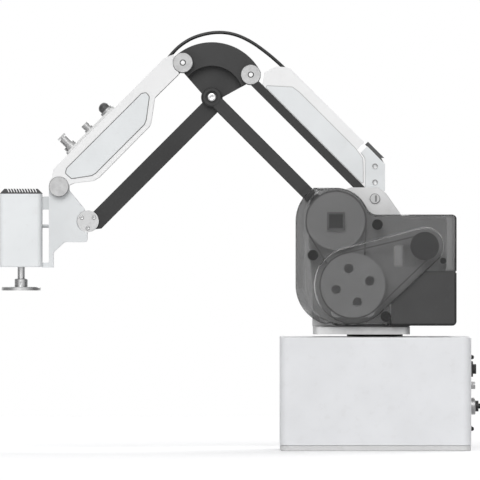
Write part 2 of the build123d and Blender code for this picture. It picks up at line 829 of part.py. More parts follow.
def rear_cover_panels():
    outline = on_link(rear_tie_foot, rear_tie_head, rounded(
        [(arm_length - 46.8, 21.5), (49.5, 21.5), (37.0, 19.6), (18.6, 2.0), (arm_length - 18, 2.0),
         (arm_length - 38.2, 20.2)],
        [2, 2, 3, 1, 1, 3]))
    return both(slab(outline, shell_half, shell_half + 0.6))


# Forearm

def forearm_outline():
    half_round = forearm_end_radius
    body = polygon((0, -forearm_below), (forearm_length - 4, -forearm_below),
                   (forearm_length + 8.8, -4), (forearm_length + 8.8, forearm_above), (0, forearm_above))
    body += Circle(half_round)
    body += Pos(forearm_length, 0) * Circle(wrist_cap_radius - 1)
    return body


def forearm_link():
    """A box beam with a fork at each end; the far cheek is thin where the belt passes."""
    outline = on_link(elbow, wrist, forearm_outline())
    body = slab(outline, -cheek_outer, cheek_outer)
    root = on_link(elbow, wrist, Pos(-10, 0) * Rectangle(80, 60))
    tip = on_link(elbow, wrist, Pos(forearm_length + 10, 0) * Rectangle(56, 60))
    body -= slab(root, -cheek_inner, cheek_inner)
    body -= slab(tip, -cheek_inner, cheek_inner)
    relief = on_link(elbow, wrist, Pos(35, 0) * Rectangle(120, 60))
    body -= slab(relief, -cheek_outer - 1, -belt_inner + 0.6)
    trough = Pos((forearm_length + 17) / 2, -3) * Rectangle(forearm_length - 83, 19)
    body -= slab(on_link(elbow, wrist, trough), -cheek_outer + 4, cheek_outer - 4)
    body += disc(elbow, arm_pulley_radius, -cheek_outer, -belt_inner + 0.6)
    body -= disc(elbow, pivot_radius + running_fit, -cheek_outer - 1, cheek_outer + 1)
    return body - disc(wrist, pivot_radius + 0.02, -cheek_outer - 1, cheek_outer + 1)


def wrist_pin():
    return disc(wrist, pivot_radius, -cheek_outer, cheek_outer)


def wrist_caps():
    cap = disc(wrist, wrist_cap_radius, cheek_outer, sector_half - 0.4)
    for angle in (30, 150, 270):
        cap -= disc(polar(wrist, 7.0, angle), 2.3, sector_half - 1.4, sector_half)
    return both(cap)


def forearm_shell_points():
    end = forearm_length
    return [(0.8, 12.4), (5.9, 14.8), (9.7, 16.2), (end - 8.3, 16.2), (end - 0.6, 11.1), (end + 3.4, 10.3),
            (end + 1.5, 2), (end - 8.3, -6.4), (end - 13.2, -8), (end - 28.6, -20.2), (end - 35.2, -21.8),
            (68.8, -21.4), (65.2, -20.2), (44.5, -4.9), (10.3, -5.2), (9.0, 2.0)]


def forearm_cover():
    outline = on_link(front_tie_foot, front_tie_head,
                      rounded(forearm_shell_points(), [0, 0, 2, 4, 0, 1, 4, 2, 0, 3, 3, 3, 3, 3, 1, 4]))
    eyes = Pos(*front_tie_foot) * Circle(eye_radius + 0.3)
    eyes += Pos(*front_tie_head) * Circle(eye_radius + 0.1)
    body = slab(outline - eyes, -shell_half, shell_half)
    roof = 16.2 - shell_wall
    end = forearm_length
    inside = on_link(front_tie_foot, front_tie_head, polygon(
        (-20, roof), (end - 5, roof), (end + 15, 4), (end + 15, -40), (-20, -40)))
    body -= slab(inside, -tie_inner, tie_inner)
    bar_room = on_link(front_tie_foot, front_tie_head, Pos(end / 2, 0) * Rectangle(end, 10.4))
    grooves = slab(bar_room, tie_inner - 1, tie_outer + 0.1)
    body -= grooves
    body -= mirrored(grooves)
    notch = on_link(front_tie_foot, front_tie_head, Pos(0, 20) * Rectangle(34, 40))
    return body - slab(notch, -sector_half - 0.8, sector_half + 0.8)


def forearm_cover_panels():
    end = forearm_length
    outline = on_link(front_tie_foot, front_tie_head, rounded(
        [(end - 18.5, 7.1), (end - 14.5, 4.6), (end - 14.8, -3.1), (end - 31.3, -15.1), (end - 35.2, -16.1),
         (70.8, -16.1), (66.3, -14.1), (47.9, -0.1), (47.4, 4.8), (51.4, 7.0)],
        [2, 2, 3, 3, 3, 3, 3, 2, 2, 2]))
    return both(slab(outline, shell_half, shell_half + 0.6))


def on_forearm_top(along, across, high, solid):
    """Places a solid made upright at the origin on top of the forearm cover."""
    place = polar(front_tie_foot, along, forearm_angle)
    normal = forearm_angle + 90
    place = polar(place, high, normal)
    return Pos(place[0], across, place[1]) * Rot(0, 90 - normal, 0) * solid


def stack(*steps):
    """A turned piece: pairs of radius and height from the bottom up."""
    low = 0
    body = None
    for radius, height in steps:
        part = Pos(0, 0, low + height / 2) * Cylinder(radius, height)
        body = part if body is None else body + part
        low += height
    return body


def connector_plate():
    plate = extrude(RectangleRounded(66.8, 30, 4), 2.6)
    for location in GridLocations(58, 22, 2, 2):
        plate -= location * Cylinder(1.6, 8)
    return on_forearm_top(forearm_length - 62.1, 0, 16.3, plate)


def air_connector():
    body = stack((7.0, 4.0), (4.6, 8.7), (2.2, 2.0)) + Pos(0, 0, 14.7) * Box(9.3, 4, 2.0)
    return on_forearm_top(forearm_length - 37, 0, 18.9, body)


def signal_connector():
    body = stack((5.0, 2.0), (3.75, 1.4), (4.1, 4.2)) - Pos(0, 0, 7.6) * Cylinder(2.6, 5)
    return on_forearm_top(forearm_length - 62, 0, 18.9, body)


def button_bezel():
    ring_body = stack((7.4, 2.6)) - Pos(0, 0, 1.5) * Cylinder(5.9, 4)
    return on_forearm_top(forearm_length - 87.5, 0, 18.9, ring_body)


def release_button():
    dome = stack((5.7, 2.2)) + Pos(0, 0, 2.2) * (Sphere(6.2) & Pos(0, 0, 5) * Box(20, 20, 10))
    dome = dome & Cylinder(5.7, 30)
    return on_forearm_top(forearm_length - 87.5, 0, 18.9 + 0.3 + button_travel, dome)


# Wrist

def from_wrist(dx, dz):
    return (wrist[0] + dx, wrist[1] + dz)


def bracket_outline():
    """The side plate: a round eye at the top, a notch round the wrist cap, and a leg below."""
    eye = bracket_front - (front_tie_head[0] - wrist[0])
    top = front_tie_head[1] - wrist[1]
    left = bracket_front - 2 * eye
    points = [from_wrist(*p) for p in (
        (bracket_front, top), (bracket_front, bracket_low), (34.5, bracket_low), (34.5, -31.0),
        (23.5, -21.0), (0.7, -21.0), (0.7, -8.0), (3.6, 12.1), (left, 30.8), (left, top))]
    outline = rounded(points, [0, 0, 0, 3, 3, 3, 0, 3, 3, 0])
    outline += Pos(*front_tie_head) * Circle(eye)
    return outline - Pos(*wrist) * Circle(wrist_cap_radius + 0.4)


def wrist_bracket():
    plate = slab(bracket_outline(), bar_inner, sector_half)
    plate = plate + mirrored(plate)
    x0, z0 = wrist
    low = z0 + bracket_low
    web = block(x0 + 34.5, x0 + bracket_front, -bar_inner, bar_inner, low, z0 + 27.0)
    foot = block(x0 + 34.5, head_rear(), -14, 14, low, low + 5)
    lug = slab(Pos(*wrist) * Circle(9.0) + polygon(
        (x0, z0 - 9), (x0 + 36, z0 - 9), (x0 + 36, z0 + 9), (x0, z0 + 9)), -hub_half, hub_half)
    tube = disc(front_tie_head, 7.0, -bar_inner, bar_inner)
    body = plate + web + foot + lug + tube
    body -= disc(wrist, pivot_radius + running_fit, -hub_half - 1, hub_half + 1)
    return body - disc(front_tie_head, tie_pin_radius + 0.02, -sector_half - 1, sector_half + 1)


def wrist_tie_pin():
    head = pin_head(front_tie_head)
    return disc(front_tie_head, tie_pin_radius, -tie_outer - 0.2, tie_outer + 0.2) + head + mirrored(head)


def head_rear():
    return tool_x - head_width / 2


def head_standoff():
    low, high = wrist[1] + standoff_low, wrist[1] + standoff_high
    return block(wrist[0] + bracket_front, head_rear(), -15, 15, low, high)


def head_locating_pins():
    rear = wrist[0] + bracket_front
    return [lying(rear, head_rear(), y, wrist[1] + locating_pin, 1.6) for y in (-8, 8)]


def head_housing():
    outline = Pos(tool_x, 0, head_bottom_z) * RectangleRounded(head_width, head_width, head_corner)
    hollow = head_width - 5
    inner = Pos(tool_x, 0, head_bottom_z + 3) * RectangleRounded(hollow, hollow, head_corner - 2.5)
    body = extrude(outline, head_top_z - head_bottom_z)
    body = chamfer(body.faces().sort_by(Axis.Z)[0].edges(), 0.8)
    body -= extrude(inner, head_top_z)
    body -= upright(tool_x, 0, 9.0, head_bottom_z - 1, head_bottom_z + 4)
    return body


def head_vent_cap():
    """The louvred cap on top of the head."""
    outline = Pos(tool_x, 0, head_top_z) * RectangleRounded(head_width, head_width, head_corner)
    cap = extrude(outline, vent_height)
    cap = chamfer(cap.faces().sort_by(Axis.Z)[-1].edges(), vent_height - 0.4)
    count = 11
    pitch = (head_width - 12) / count
    for i in range(count):
        x = tool_x - (count - 1) * pitch / 2 + i * pitch
        slot = Pos(x, 0, head_top_z + vent_floor + 4) * Rot(0, 25, 0) * Box(vent_slot, head_width + 2, 8)
        cap -= slot & block(x - 9, x + 9, -head_width, head_width, head_top_z + vent_floor, head_top_z + 9)
    return cap


def tool_motor():
    body = Pos(tool_x, 0, 0) * Box(34, 34, 50)
    body = chamfer(body.edges().filter_by(Axis.Z), 3)
    return Pos(0, 0, head_bottom_z + 12 + 25) * body


def tool_bearing():
    low = head_bottom_z
    race = upright(tool_x, 0, 8.9, low, low + 12)
    return race - upright(tool_x, 0, shaft_radius + running_fit, low - 1, low + 13)


def output_shaft():
    top = head_bottom_z + 11.7
    low = flange_bottom_z + flange_thickness - 1
    return upright(tool_x, 0, shaft_radius, low, top)


def tool_flange():
    plate = upright(tool_x, 0, flange_radius, flange_bottom_z, flange_bottom_z + flange_thickness)
    plate = chamfer(plate.edges().sort_by(Axis.Z)[-1], 0.5)
    low = flange_bottom_z + flange_thickness
    hub = upright(tool_x, 0, hub_radius, low, low + hub_height)
    plate += chamfer(hub.edges().sort_by(Axis.Z)[-1], 0.6)
    plate -= upright(tool_x, 0, shaft_radius + 0.02, low - 1, low + hub_height + 1)
    plate -= Pos(tool_x, hub_radius, low + hub_height / 2) * Rot(90, 0, 0) * Cylinder(1.25, 5)
    for location in PolarLocations(flange_pcd / 2, 4):
        hole = location * upright(0, 0, flange_hole_radius, flange_bottom_z - 1, low + 1)
        plate -= Pos(tool_x, 0, 0) * hole
    return plate


# Cable over the elbow

def cable_route():
    """From under the forearm cover's roof, over the elbow, to under the rear cover's roof."""
    front = [(41.0, 12.0), (18.0, 12.0), (3.4, 14.3)]
    over = [(32.06, 52.06), (17.56, 60.86), (-2.94, 65.66), (-21.44, 64.06), (-38.54, 56.56), (-55.44, 44.46)]
    rear = [(arm_length - 16.5, 28.5), (arm_length - 31.5, 28.1), (arm_length - 57.0, 28.1)]
    points = []
    for along, away in front:
        points.append(polar(polar(front_tie_foot, along, forearm_angle), away, forearm_angle + 90))
    points += [(elbow[0] + x, elbow[1] + z) for x, z in over]
    for along, away in rear:
        points.append(polar(polar(rear_tie_foot, along, arm_angle), away, arm_angle + 90))
    return points


def elbow_cable():
    points = cable_route()
    runs = [hypot(b[0] - a[0], b[1] - a[1]) for a, b in zip(points, points[1:])]
    angles = [degrees(atan2(b[1] - a[1], b[0] - a[0])) for a, b in zip(points, points[1:])]
    radii = []
    for i in range(len(runs) - 1):
        turn = abs((angles[i + 1] - angles[i] + 180) % 360 - 180)
        radii.append(0.45 * min(runs[i], runs[i + 1]) / tan(radians(turn / 2)))
    print("cable radii", [round(r, 1) for r in radii], "runs", [round(r, 1) for r in runs])
    path = FilletPolyline(*[(x, 0, z) for x, z in points], radius=radii)
    start = Plane(path @ 0, z_dir=path % 0)
    tube = sweep(start * Circle(cable_radius), path=path)
    print("cable length", round(path.length, 1))
    return tube


# The pieces

def main():
    os.makedirs("parts", exist_ok=True)
    save("base_housing", base_housing())
    save("base_bottom_plate", base_bottom_plate())
    save("base_io_connector", base_io_connector())
    save("base_round_connectors", base_round_connector(), base_knurled_connector())
    save("base_air_coupler", base_air_coupler())
    save("slew_bearing", slew_bearing())
    save("slew_motor", slew_motor())
    save("slew_motor_pulley", slew_motor_pulley())
    save("slew_belt", slew_belt())
    save("power_supply", power_supply())
    save("control_board", control_board())

    save("slew_column", slew_column())
    save("slew_ring", slew_ring())
    save("turntable_plate", turntable_plate())
    save("turret_frame", turret_frame())
    save("turret_bearings", *shoulder_bearings(), *reducer_bearings())
    save("left_drive_cover", drive_cover())
    save("right_drive_cover", mirrored(drive_cover()))
    save("belt_covers", *both(belt_cover()))
    save("turret_rear_box", rear_box())
    save("turret_rear_cover", rear_cover())
    save("cover_posts", *cover_posts())
    save("joint_motors", *both(joint_motor()))
    save("drive_belts", *drive_belts(), *[mirrored(loop) for loop in drive_belts()])
    save("tie_foot_pins", *tie_foot_pins())

    save("shoulder_motor_pulley", motor_pulley())
    save("elbow_motor_pulley", mirrored(motor_pulley()))
    save("shoulder_reducer_pulley", reduction_pulley())
    save("elbow_reducer_pulley", mirrored(reduction_pulley()))
    save("shoulder_pulley", output_pulley(plate_outer + 0.5, sleeve_radius))
    save("elbow_drive_pulley", elbow_drive_pulley())

    save("left_rear_link", left_rear_link())
    save("right_rear_link", right_rear_link())
    save("rear_link_pins", elbow_pin(), *rear_link_spacers())
    save("forearm_drive_belt", forearm_belt())

    save("elbow_sector", elbow_sector())
    save("crank_pins", *crank_pins())
    save("elbow_cable", elbow_cable())

    save("rear_tie_bars", *rear_tie_bars())
    save("rear_arm_cover", rear_arm_cover())
    save("rear_cover_panels", *rear_cover_panels())
    save("rear_end_bracket", rear_end_bracket())
    save("rear_cover_strip", rear_cover_strip())

    save("forearm_link", forearm_link())
    save("wrist_caps", wrist_pin(), *wrist_caps())

    save("forearm_tie_bars", *forearm_tie_bars())
    save("forearm_cover", forearm_cover())
    save("forearm_cover_panels", *forearm_cover_panels())
    save("connector_plate", connector_plate())
    save("air_connector", air_connector())
    save("signal_connector", signal_connector(), button_bezel())
    save("release_button", release_button())

    save("wrist_bracket", wrist_bracket())
    save("wrist_tie_pin", wrist_tie_pin())
    save("head_standoff", head_standoff(), *head_locating_pins())
    save("head_housing", head_housing())
    save("head_vent_cap", head_vent_cap())
    save("tool_motor", tool_motor(), tool_bearing())

    save("output_shaft", output_shaft())
    save("tool_flange", tool_flange())


main()
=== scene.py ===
import bpy
import math
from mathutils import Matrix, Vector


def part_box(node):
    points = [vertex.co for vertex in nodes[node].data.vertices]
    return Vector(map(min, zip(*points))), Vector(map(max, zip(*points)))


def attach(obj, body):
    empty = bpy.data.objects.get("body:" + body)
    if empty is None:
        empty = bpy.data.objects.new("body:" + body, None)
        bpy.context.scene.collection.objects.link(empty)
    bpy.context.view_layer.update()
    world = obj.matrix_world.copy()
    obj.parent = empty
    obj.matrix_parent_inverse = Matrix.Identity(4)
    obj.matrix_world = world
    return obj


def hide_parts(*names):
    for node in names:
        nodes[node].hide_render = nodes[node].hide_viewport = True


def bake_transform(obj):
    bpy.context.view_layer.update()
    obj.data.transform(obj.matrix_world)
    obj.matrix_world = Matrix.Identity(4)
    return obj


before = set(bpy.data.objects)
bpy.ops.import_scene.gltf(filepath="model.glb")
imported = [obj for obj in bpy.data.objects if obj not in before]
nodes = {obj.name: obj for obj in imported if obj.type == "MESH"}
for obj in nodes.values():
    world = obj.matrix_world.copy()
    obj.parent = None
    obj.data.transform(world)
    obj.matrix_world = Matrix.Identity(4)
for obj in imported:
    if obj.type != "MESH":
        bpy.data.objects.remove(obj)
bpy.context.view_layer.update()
mm = 0.001

# The linkage of the arm, in millimetres, as in the solid model
link = {
    "armLength": 175.0,
    "crankLength": 45.0,
    "shoulder": (39.2, 228.4),
    "armAngle": 45.0,
    "forearmAngle": -45.0,
    "rearCrankAngle": 150.0,
    "frontCrankAngle": 50.0,
    "toolReach": 66.9,
    "reducer": (22.2, 164.5),
    "motor": (-49.2, 203.6),
}


def along(start, length, angle):
    return (start[0] + length * math.cos(math.radians(angle)),
            start[1] + length * math.sin(math.radians(angle)))


shoulder = link["shoulder"]
elbow = along(shoulder, link["armLength"], link["armAngle"])
wrist = along(elbow, link["armLength"], link["forearmAngle"])
rearTieFoot = along(shoulder, link["crankLength"], link["rearCrankAngle"])
rearTieHead = along(elbow, link["crankLength"], link["rearCrankAngle"])
frontTieFoot = along(elbow, link["crankLength"], link["frontCrankAngle"])
toolX = wrist[0] + link["toolReach"]


def axle(point):
    # an axle that runs along Y, as a place in space
    return (point[0], 0, point[1])



# Camera at the photograph's angle

camera = {"lens": 1000.0, "sensor": 36.0, "aimX": 134.8, "aimZ": 209.6, "frameWidth": 480.0}

distance = camera["frameWidth"] * mm * camera["lens"] / camera["sensor"]
bpy.ops.object.camera_add(
    location=(camera["aimX"] * mm, distance, camera["aimZ"] * mm),
    rotation=(math.radians(90), 0, math.radians(180)))
photoCamera = bpy.context.object
photoCamera.data.lens = camera["lens"]
photoCamera.data.sensor_width = camera["sensor"]
photoCamera.data.clip_start = 0.5
photoCamera.data.clip_end = 60
bpy.context.scene.camera = photoCamera
print("camera ready")


# Cable over the elbow, as two halves that meet above the sector

cable = {
    "radius": 1.75,
    "frontStart": [(41.0, 12.0), (18.0, 12.0), (3.4, 14.3)],
    "frontOver": [(195.0, 404.2), (180.5, 413.0), (160.0, 417.8)],
    "crown": (150.75, 417.0),
    "rearOver": [(141.5, 416.2), (124.4, 408.7), (107.5, 396.6)],
    "rearEnd": [(158.5, 28.5), (143.5, 28.1), (118.0, 28.1)],
}


def onTie(foot, angle, distanceAlong, off):
    return along(along(foot, distanceAlong, angle), off, angle + 90)


def cableHalf(name, points):
    curve = bpy.data.curves.new(name, "CURVE")
    curve.dimensions = "3D"
    curve.resolution_u = 16
    spline = curve.splines.new("NURBS")
    spline.points.add(len(points) - 1)
    for point, (x, z) in zip(spline.points, points):
        point.co = (x * mm, 0, z * mm, 1)
    spline.order_u = 3
    spline.use_endpoint_u = True
    piece = bpy.data.objects.new(name, curve)
    bpy.context.scene.collection.objects.link(piece)
    line = bpy.data.meshes.new_from_object(piece)
    path = [tuple(v.co) for v in line.vertices]
    bpy.data.meshes.remove(line)
    # the tube needs a mesh of its own, because it bends between two bodies
    curve.bevel_depth = cable["radius"] * mm
    curve.bevel_resolution = 5
    curve.use_fill_caps = True
    bpy.ops.object.select_all(action="DESELECT")
    piece.select_set(True)
    bpy.context.view_layer.objects.active = piece
    bpy.ops.object.convert(target="MESH")
    bpy.ops.object.shade_smooth_by_angle(angle=math.radians(50))
    return bpy.context.object, path


frontPoints = [onTie(frontTieFoot, link["forearmAngle"], s, off) for s, off in cable["frontStart"]]
frontPoints += cable["frontOver"] + [cable["crown"]]
rearPoints = [cable["crown"]] + cable["rearOver"]
rearPoints += [onTie(rearTieFoot, link["armAngle"], s, off) for s, off in cable["rearEnd"]]
cableFront, frontPath = cableHalf("cable_front_half", frontPoints)
cableRear, rearPath = cableHalf("cable_rear_half", rearPoints)
print("cable ready")


# Light, world and floor

light = {
    "ambient": 0.30,
    "keyFrom": (0.16, 0.84, 0.52), "key": 1.75,
    "backFrom": (-0.35, -0.75, 0.60), "back": 1.25,
    "softness": 45.0,
    "distance": 3.0,
    "flagShade": 0.22,      # how bright a mirror sees the studio's left and right sides
    "flagFrom": 0.45, "flagTo": 0.95,
    "floor": (0.90, 0.90, 0.91), "floorGlow": 0.27, "floorSize": 5.0, "floorDrop": 0.0002,
}


def addSun(name, toward, strength):
    length = math.sqrt(sum(c * c for c in toward))
    x, y, z = (c / length for c in toward)
    tilt = math.acos(z)
    turn = math.atan2(x, -y)
    away = light["distance"]
    place = (x * away, y * away, z * away)
    bpy.ops.object.light_add(type="SUN", location=place, rotation=(tilt, 0, turn))
    sun = bpy.context.object
    sun.name = name
    sun.data.energy = strength
    sun.data.angle = math.radians(light["softness"])


def rayKinds(tree, *kinds):
    # 1 for any of the kinds of ray that are named, otherwise 0
    path = tree.nodes.new("ShaderNodeLightPath")
    total = path.outputs[kinds[0]]
    for kind in kinds[1:]:
        both = tree.nodes.new("ShaderNodeMath")
        both.operation = "MAXIMUM"
        tree.links.new(total, both.inputs[0])
        tree.links.new(path.outputs[kind], both.inputs[1])
        total = both.outputs[0]
    return total


def plainBackground(tree, strength):
    shade = tree.nodes.new("ShaderNodeBackground")
    shade.inputs["Color"].default_value = (1, 1, 1, 1)
    shade.inputs["Strength"].default_value = strength
    return shade


def mixShaders(tree, factor, first, second):
    mix = tree.nodes.new("ShaderNodeMixShader")
    tree.links.new(factor, mix.inputs[0])
    tree.links.new(first, mix.inputs[1])
    tree.links.new(second, mix.inputs[2])
    return mix.outputs[0]


def studioWorld():
    # a soft grey light on the object, white behind it, and in metal white with two dark sides
    world = bpy.data.worlds.new("studioWorld")
    bpy.context.scene.world = world
    world.use_nodes = True
    tree = world.node_tree
    tree.nodes.clear()
    soft = plainBackground(tree, light["ambient"])
    white = plainBackground(tree, 1.0)
    place = tree.nodes.new("ShaderNodeTexCoord")
    split = tree.nodes.new("ShaderNodeSeparateXYZ")
    tree.links.new(place.outputs["Generated"], split.inputs[0])
    away = tree.nodes.new("ShaderNodeMath")
    away.operation = "ABSOLUTE"
    tree.links.new(split.outputs["X"], away.inputs[0])
    side = tree.nodes.new("ShaderNodeMapRange")
    side.interpolation_type = "SMOOTHSTEP"
    side.inputs["From Min"].default_value = light["flagFrom"]
    side.inputs["From Max"].default_value = light["flagTo"]
    side.inputs["To Min"].default_value = 1.0
    side.inputs["To Max"].default_value = light["flagShade"]
    tree.links.new(away.outputs[0], side.inputs["Value"])
    mirror = plainBackground(tree, 1.0)
    tree.links.new(side.outputs["Result"], mirror.inputs["Strength"])
    seen = mixShaders(tree, rayKinds(tree, "Is Glossy Ray"), soft.outputs[0], mirror.outputs[0])
    straight = rayKinds(tree, "Is Camera Ray", "Is Transmission Ray")
    seen = mixShaders(tree, straight, seen, white.outputs[0])
    out = tree.nodes.new("ShaderNodeOutputWorld")
    tree.links.new(seen, out.inputs["Surface"])


def paleFloor():
    bpy.ops.mesh.primitive_plane_add(size=light["floorSize"], location=(0, 0, -light["floorDrop"]))
    floor = bpy.context.object
    floor.name = "studio_floor"
    material = bpy.data.materials.new("paleFloor")
    material.use_nodes = True
    tree = material.node_tree
    shader = tree.nodes["Principled BSDF"]
    shader.inputs["Base Color"].default_value = (*light["floor"], 1)
    shader.inputs["Roughness"].default_value = 0.9
    shader.inputs["Specular IOR Level"].default_value = 0.1
    # the camera sees the lit floor as white, and the shadow on it stays
    shader.inputs["Emission Color"].default_value = (1, 1, 1, 1)
    glow = tree.nodes.new("ShaderNodeMath")
    glow.operation = "MULTIPLY"
    glow.inputs[1].default_value = light["floorGlow"]
    tree.links.new(rayKinds(tree, "Is Camera Ray", "Is Transmission Ray"), glow.inputs[0])
    tree.links.new(glow.outputs[0], shader.inputs["Emission Strength"])
    floor.data.materials.append(material)


addSun("keyLight", light["keyFrom"], light["key"])
addSun("backLight", light["backFrom"], light["back"])
studioWorld()
paleFloor()
bpy.context.scene.view_settings.view_transform = "Standard"
print("studio ready")


# Effects that several finishes share

def newGroup(name, inputs, outputs):
    group = bpy.data.node_groups.new(name, "ShaderNodeTree")
    for label, kind, value in inputs:
        socket = group.interface.new_socket(name=label, in_out="INPUT", socket_type=kind)
        if value is not None:
            socket.default_value = value
    for label, kind in outputs:
        group.interface.new_socket(name=label, in_out="OUTPUT", socket_type=kind)
    return group, group.nodes.new("NodeGroupInput"), group.nodes.new("NodeGroupOutput")


def mathNode(tree, operation, first, second):
    node = tree.nodes.new("ShaderNodeMath")
    node.operation = operation
    for index, value in enumerate((first, second)):
        if isinstance(value, (int, float)):
            node.inputs[index].default_value = value
        elif value is not None:
            tree.links.new(value, node.inputs[index])
    return node.outputs[0]


def stretchedRange(tree, value, low, high):
    node = tree.nodes.new("ShaderNodeMapRange")
    node.inputs["From Min"].default_value = low
    node.inputs["From Max"].default_value = high
    tree.links.new(value, node.inputs["Value"])
    return node.outputs["Result"]


def noiseNode(tree, vector, scale, detail, roughness=0.5):
    node = tree.nodes.new("ShaderNodeTexNoise")
    node.inputs["Detail"].default_value = detail
    node.inputs["Roughness"].default_value = roughness
    tree.links.new(vector, node.inputs["Vector"])
    if isinstance(scale, (int, float)):
        node.inputs["Scale"].default_value = scale
    else:
        tree.links.new(scale, node.inputs["Scale"])
    return node.outputs["Fac"]


def makeGrainGroup():
    # fine grain for the bump, slow cloudy tone for colour, sparse rub marks for roughness
    group, start, end = newGroup(
        "fineGrain",
        [("Vector", "NodeSocketVector", None), ("Grain Scale", "NodeSocketFloat", 2500.0),
         ("Cloud Scale", "NodeSocketFloat", 30.0)],
        [("Grain", "NodeSocketFloat"), ("Cloud", "NodeSocketFloat"), ("Rub", "NodeSocketFloat")])
    vector = start.outputs["Vector"]
    grain = noiseNode(group, vector, start.outputs["Grain Scale"], 2.0)
    cloud = noiseNode(group, vector, start.outputs["Cloud Scale"], 3.0)
    rubScale = mathNode(group, "MULTIPLY", start.outputs["Cloud Scale"], 4.0)
    rub = noiseNode(group, vector, rubScale, 6.0, 0.65)
    group.links.new(grain, end.inputs["Grain"])
    group.links.new(stretchedRange(group, cloud, 0.32, 0.68), end.inputs["Cloud"])
    group.links.new(stretchedRange(group, rub, 0.56, 0.74), end.inputs["Rub"])
    return group


def makeBrushedGroup():
    # long thin scratches along one direction
    group, start, end = newGroup(
        "brushedGrain",
        [("Vector", "NodeSocketVector", None), ("Fineness", "NodeSocketFloat", 900.0)],
        [("Scratch", "NodeSocketFloat")])
    stretch = group.nodes.new("ShaderNodeVectorMath")
    stretch.operation = "MULTIPLY"
    stretch.inputs[1].default_value = (0.04, 1.0, 1.0)
    group.links.new(start.outputs["Vector"], stretch.inputs[0])
    scratch = noiseNode(group, stretch.outputs[0], start.outputs["Fineness"], 4.0, 0.6)
    group.links.new(scratch, end.inputs["Scratch"])
    return group


def makeTurnedGroup():
    # rings left by a lathe round the Z axis of the vector that comes in
    group, start, end = newGroup(
        "turnedRings",
        [("Vector", "NodeSocketVector", None), ("Rings", "NodeSocketFloat", 2200.0)],
        [("Ring", "NodeSocketFloat")])
    split = group.nodes.new("ShaderNodeSeparateXYZ")
    group.links.new(start.outputs["Vector"], split.inputs[0])
    xx = mathNode(group, "MULTIPLY", split.outputs["X"], split.outputs["X"])
    yy = mathNode(group, "MULTIPLY", split.outputs["Y"], split.outputs["Y"])
    radius = mathNode(group, "SQRT", mathNode(group, "ADD", xx, yy), None)
    join = group.nodes.new("ShaderNodeCombineXYZ")
    group.links.new(radius, join.inputs["X"])
    group.links.new(mathNode(group, "MULTIPLY", split.outputs["Z"], 0.15), join.inputs["Y"])
    ring = noiseNode(group, join.outputs[0], start.outputs["Rings"], 3.0, 0.6)
    group.links.new(ring, end.inputs["Ring"])
    return group


def makeRoundMask():
    # 1 between two radii from a line along Y, with a soft edge
    group, start, end = newGroup(
        "roundMask",
        [("Vector", "NodeSocketVector", None), ("Inner", "NodeSocketFloat", 0.0),
         ("Outer", "NodeSocketFloat", 0.01)],
        [("Mask", "NodeSocketFloat")])
    split = group.nodes.new("ShaderNodeSeparateXYZ")
    group.links.new(start.outputs["Vector"], split.inputs[0])
    xx = mathNode(group, "MULTIPLY", split.outputs["X"], split.outputs["X"])
    zz = mathNode(group, "MULTIPLY", split.outputs["Z"], split.outputs["Z"])
    radius = mathNode(group, "SQRT", mathNode(group, "ADD", xx, zz), None)
    inside = mathNode(group, "LESS_THAN", radius, start.outputs["Outer"])
    outside = mathNode(group, "GREATER_THAN", radius, start.outputs["Inner"])
    group.links.new(mathNode(group, "MULTIPLY", inside, outside), end.inputs["Mask"])
    return group


def makeBoxMask():
    # 1 inside a box round the origin of the vector that comes in
    group, start, end = newGroup(
        "boxMask",
        [("Vector", "NodeSocketVector", None), ("Half X", "NodeSocketFloat", 0.01),
         ("Half Y", "NodeSocketFloat", 1.0), ("Half Z", "NodeSocketFloat", 0.01)],
        [("Mask", "NodeSocketFloat")])
    split = group.nodes.new("ShaderNodeSeparateXYZ")
    group.links.new(start.outputs["Vector"], split.inputs[0])
    mask = None
    for axis in "XYZ":
        distance = mathNode(group, "ABSOLUTE", split.outputs[axis], None)
        near = mathNode(group, "LESS_THAN", distance, start.outputs["Half " + axis])
        mask = near if mask is None else mathNode(group, "MULTIPLY", mask, near)
    group.links.new(mask, end.inputs["Mask"])
    return group


grainGroup = makeGrainGroup()
brushedGroup = makeBrushedGroup()
turnedGroup = makeTurnedGroup()
roundGroup = makeRoundMask()
boxGroup = makeBoxMask()


def newMaterial(name):
    material = bpy.data.materials.new(name)
    material.use_nodes = True
    return material, material.node_tree, material.node_tree.nodes["Principled BSDF"]


def objectVector(tree, centre=None, turn=(0, 0, 0)):
    place = tree.nodes.new("ShaderNodeTexCoord")
    if centre is None and turn == (0, 0, 0):
        return place.outputs["Object"]
    shift = tree.nodes.new("ShaderNodeVectorMath")
    shift.operation = "SUBTRACT"
    shift.inputs[1].default_value = tuple(c * mm for c in (centre or (0, 0, 0)))
    tree.links.new(place.outputs["Object"], shift.inputs[0])
    rotate = tree.nodes.new("ShaderNodeMapping")
    rotate.inputs["Rotation"].default_value = tuple(math.radians(a) for a in turn)
    tree.links.new(shift.outputs[0], rotate.inputs["Vector"])
    return rotate.outputs["Vector"]


def useGroup(tree, group, vector, **values):
    node = tree.nodes.new("ShaderNodeGroup")
    node.node_tree = group
    tree.links.new(vector, node.inputs["Vector"])
    for label, value in values.items():
        node.inputs[label.replace("_", " ")].default_value = value
    return node


def mixedColour(tree, factor, first, second):
    node = tree.nodes.new("ShaderNodeMix")
    node.data_type = "RGBA"
    tree.links.new(factor, node.inputs["Factor"])
    for socket, value in ((node.inputs[6], first), (node.inputs[7], second)):
        if isinstance(value, tuple):
            socket.default_value = (*value, 1)
        else:
            tree.links.new(value, socket)
    return node.outputs[2]


